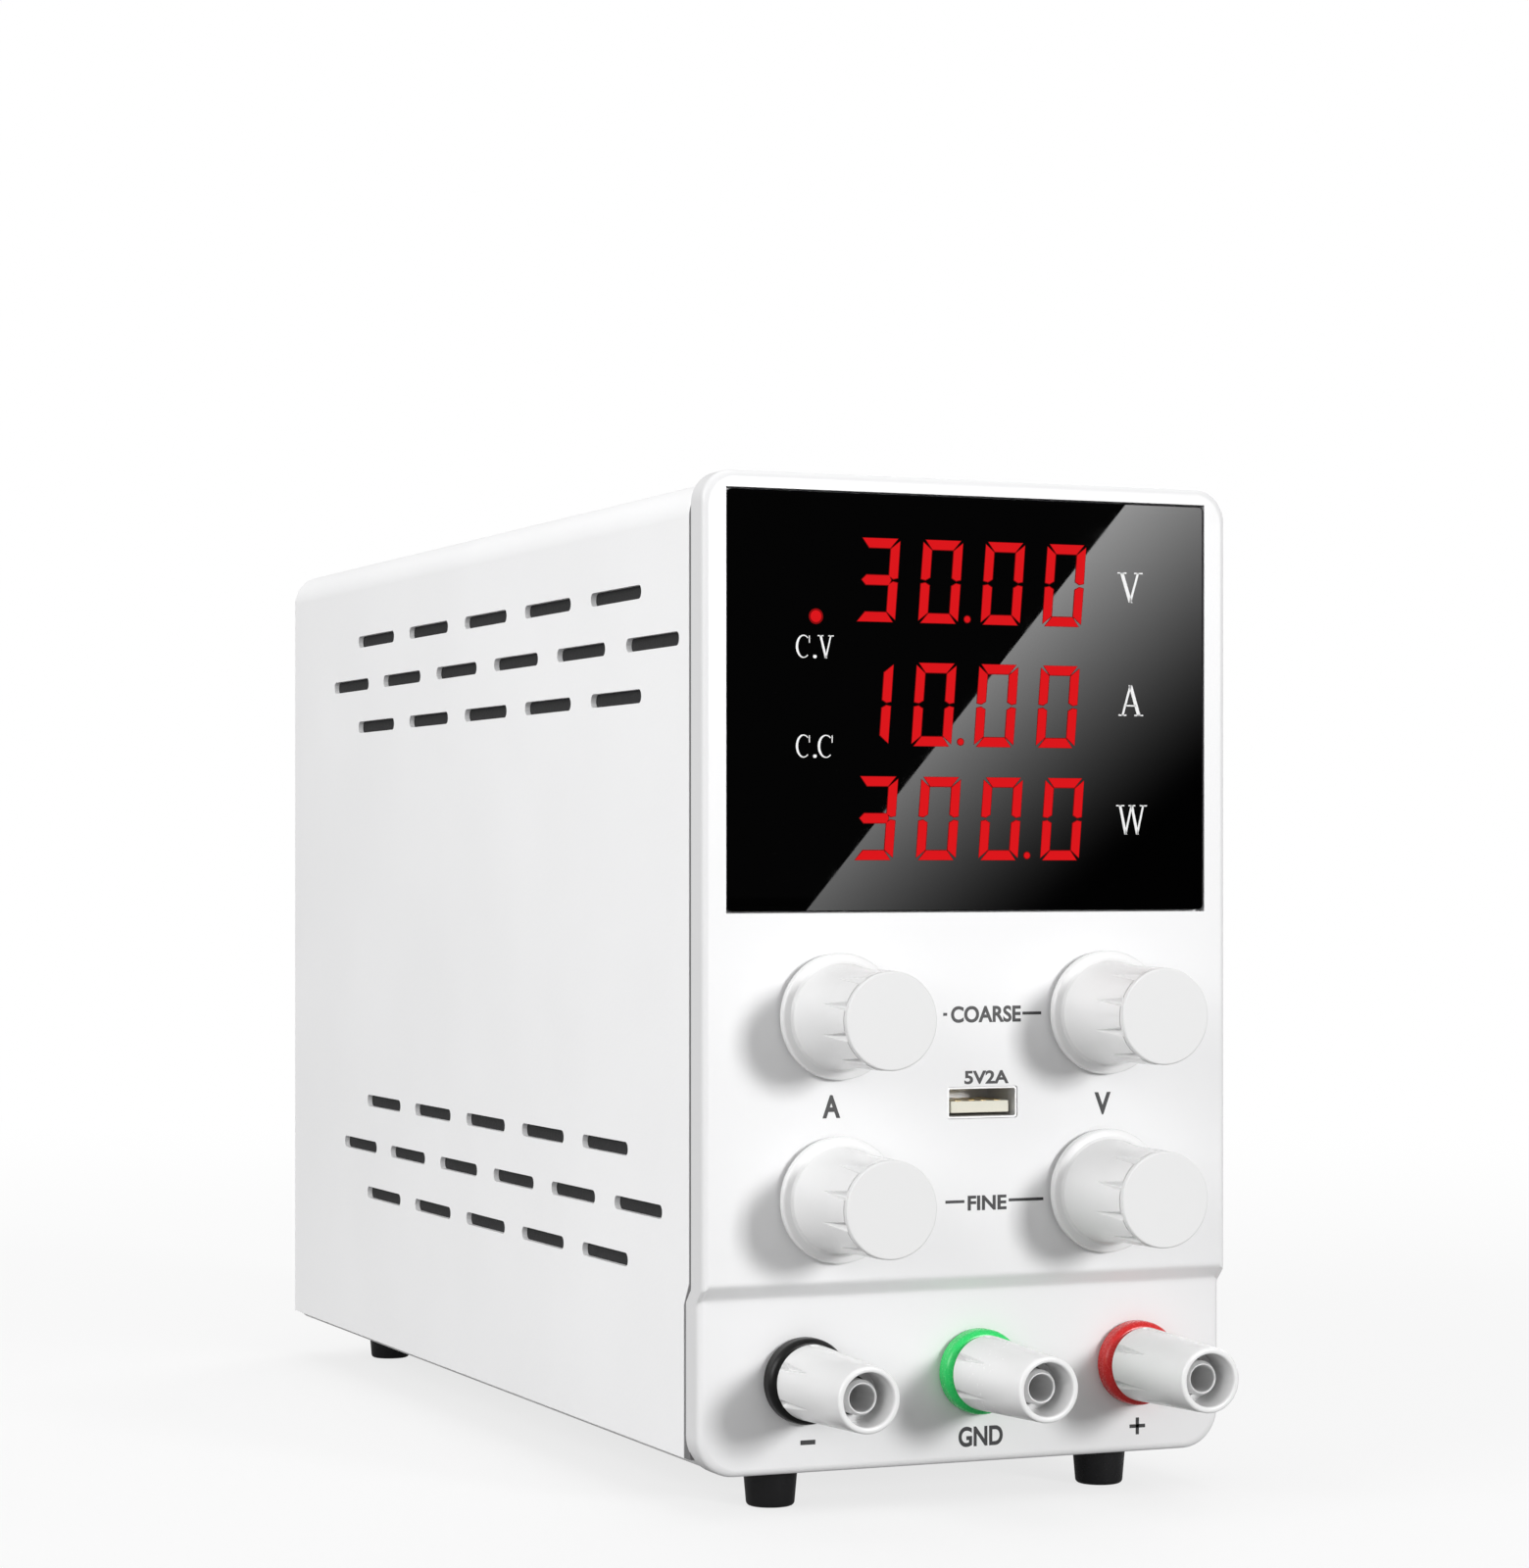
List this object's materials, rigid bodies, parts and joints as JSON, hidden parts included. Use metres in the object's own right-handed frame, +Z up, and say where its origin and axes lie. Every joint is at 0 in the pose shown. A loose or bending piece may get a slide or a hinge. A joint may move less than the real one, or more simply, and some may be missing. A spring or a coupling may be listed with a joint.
{
  "type": "bench power supply",
  "caption": "White bench power supply: black display window, coarse and fine current and voltage knobs, USB outlet, binding posts in front, slotted steel case, fan and mains inlet at back.",
  "frame": {"origin": "on the table plane, under the middle of the whole object's box", "axes": "+Z up, -Y towards the user in front of the panel, +X to the right as seen from the front"},
  "size_m": [0.094, 0.2626, 0.1665],
  "materials": {
    "panel_plastic": "white moulded plastic, satin gloss with a very fine texture",
    "case_paint": "white powder-coated sheet steel with a fine orange-peel texture",
    "knob_plastic": "glossy white plastic",
    "cap_plastic": "pale grey matt plastic",
    "smoked_window": "black smoked acrylic, polished",
    "nickel": "nickel-plated brass",
    "steel": "zinc-plated steel",
    "aluminium": "plain extruded aluminium",
    "black_plastic": "black moulded plastic",
    "red_plastic": "red moulded plastic",
    "collar_black": "black moulded plastic",
    "collar_green": "bright green moulded plastic",
    "collar_red": "red moulded plastic",
    "rubber": "black rubber",
    "circuit_board": "green solder mask on glass-fibre board",
    "ferrite": "dark grey ferrite with a taped winding",
    "capacitor_sleeve": "dark blue shrink sleeve",
    "led_module": "dark grey module face"
  },
  "bodies": {
    "enclosure": {"front_panel": "panel_plastic", "display_window": "smoked_window", "case_cover": "case_paint", "base_chassis": "case_paint", "rear_panel": "case_paint", "usb_socket": "nickel", "front_left_foot": "rubber", "front_right_foot": "rubber", "rear_left_foot": "rubber", "rear_right_foot": "rubber", "current_coarse_potentiometer": "steel", "current_fine_potentiometer": "steel", "voltage_coarse_potentiometer": "steel", "voltage_fine_potentiometer": "steel", "negative_post_collar": "collar_black", "negative_post_stud": "nickel", "ground_post_collar": "collar_green", "ground_post_stud": "nickel", "positive_post_collar": "collar_red", "positive_post_stud": "nickel", "control_board": "circuit_board", "led_digit_module": "led_module", "constant_voltage_led": "red_plastic", "constant_current_led": "red_plastic", "main_board": "circuit_board", "heatsink": "aluminium", "transformer": "ferrite", "front_bulk_capacitor": "capacitor_sleeve", "rear_bulk_capacitor": "capacitor_sleeve", "fan_frame": "black_plastic", "fan_guard": "steel", "mains_inlet": "black_plastic", "power_switch_body": "black_plastic", "voltage_selector_body": "black_plastic", "upper_left_fan_screw": "steel", "upper_right_fan_screw": "steel", "lower_left_fan_screw": "steel", "lower_right_fan_screw": "steel"},
    "current_coarse_control": {"current_coarse_knob": "knob_plastic", "current_coarse_knob_cap": "cap_plastic", "current_coarse_shaft": "aluminium"},
    "current_fine_control": {"current_fine_knob": "knob_plastic", "current_fine_knob_cap": "cap_plastic", "current_fine_shaft": "aluminium"},
    "voltage_coarse_control": {"voltage_coarse_knob": "knob_plastic", "voltage_coarse_knob_cap": "cap_plastic", "voltage_coarse_shaft": "aluminium"},
    "voltage_fine_control": {"voltage_fine_knob": "knob_plastic", "voltage_fine_knob_cap": "cap_plastic", "voltage_fine_shaft": "aluminium"},
    "negative_clamp_washer": {"negative_post_washer": "nickel"},
    "negative_clamp_nut": {"negative_thumb_nut": "knob_plastic"},
    "ground_clamp_washer": {"ground_post_washer": "nickel"},
    "ground_clamp_nut": {"ground_thumb_nut": "knob_plastic"},
    "positive_clamp_washer": {"positive_post_washer": "nickel"},
    "positive_clamp_nut": {"positive_thumb_nut": "knob_plastic"},
    "fan_rotor": {"fan_rotor": "black_plastic"},
    "power_rocker": {"power_switch_rocker": "black_plastic"},
    "voltage_key": {"voltage_selector_key": "red_plastic"},
    "fuse_drawer": {"fuse_drawer": "black_plastic"}
  },
  "joints": [
    {"name": "current_coarse_turn", "type": "hinge", "parent": "enclosure", "child": "current_coarse_control", "pos_m": [-0.024, -0.1075, 0.0797], "axis": [0, 1, 0], "range_deg": [-150, 150]},
    {"name": "current_fine_turn", "type": "hinge", "parent": "enclosure", "child": "current_fine_control", "pos_m": [-0.024, -0.1075, 0.0504], "axis": [0, 1, 0], "range_deg": [-150, 150]},
    {"name": "voltage_coarse_turn", "type": "hinge", "parent": "enclosure", "child": "voltage_coarse_control", "pos_m": [0.024, -0.1075, 0.0797], "axis": [0, 1, 0], "range_deg": [-150, 150]},
    {"name": "voltage_fine_turn", "type": "hinge", "parent": "enclosure", "child": "voltage_fine_control", "pos_m": [0.024, -0.1075, 0.0504], "axis": [0, 1, 0], "range_deg": [-150, 150]},
    {"name": "negative_nut_travel", "type": "slide", "parent": "enclosure", "child": "negative_clamp_washer", "axis": [0, -1, 0], "range_m": [0, 0.005]},
    {"name": "negative_nut_turn", "type": "hinge", "parent": "negative_clamp_washer", "child": "negative_clamp_nut", "pos_m": [-0.0289, -0.1075, 0.0215], "axis": [0, -1, 0], "range_deg": [0, 1801]},
    {"name": "ground_nut_travel", "type": "slide", "parent": "enclosure", "child": "ground_clamp_washer", "axis": [0, -1, 0], "range_m": [0, 0.005]},
    {"name": "ground_nut_turn", "type": "hinge", "parent": "ground_clamp_washer", "child": "ground_clamp_nut", "pos_m": [0.002, -0.1075, 0.0215], "axis": [0, -1, 0], "range_deg": [0, 1801]},
    {"name": "positive_nut_travel", "type": "slide", "parent": "enclosure", "child": "positive_clamp_washer", "axis": [0, -1, 0], "range_m": [0, 0.005]},
    {"name": "positive_nut_turn", "type": "hinge", "parent": "positive_clamp_washer", "child": "positive_clamp_nut", "pos_m": [0.0309, -0.1075, 0.0215], "axis": [0, -1, 0], "range_deg": [0, 1801]},
    {"name": "fan_spin", "type": "hinge", "parent": "enclosure", "child": "fan_rotor", "pos_m": [0, 0.1125, 0.1145], "axis": [0, 1, 0], "continuous": true},
    {"name": "power_switch", "type": "hinge", "parent": "enclosure", "child": "power_rocker", "pos_m": [0.024, 0.1254, 0.0445], "axis": [1, 0, 0], "range_deg": [-20, 0]},
    {"name": "voltage_select", "type": "slide", "parent": "enclosure", "child": "voltage_key", "axis": [-1, 0, 0], "range_m": [0, 0.0084]},
    {"name": "fuse_drawer_pull", "type": "slide", "parent": "enclosure", "child": "fuse_drawer", "axis": [0, 1, 0], "range_m": [0, 0.022]}
  ],
  "couplings": [
    {"joint": "negative_nut_turn", "follows": "negative_nut_travel", "rad_per_m": 6283.2},
    {"joint": "ground_nut_turn", "follows": "ground_nut_travel", "rad_per_m": 6283.2},
    {"joint": "positive_nut_turn", "follows": "positive_nut_travel", "rad_per_m": 6283.2}
  ]
}
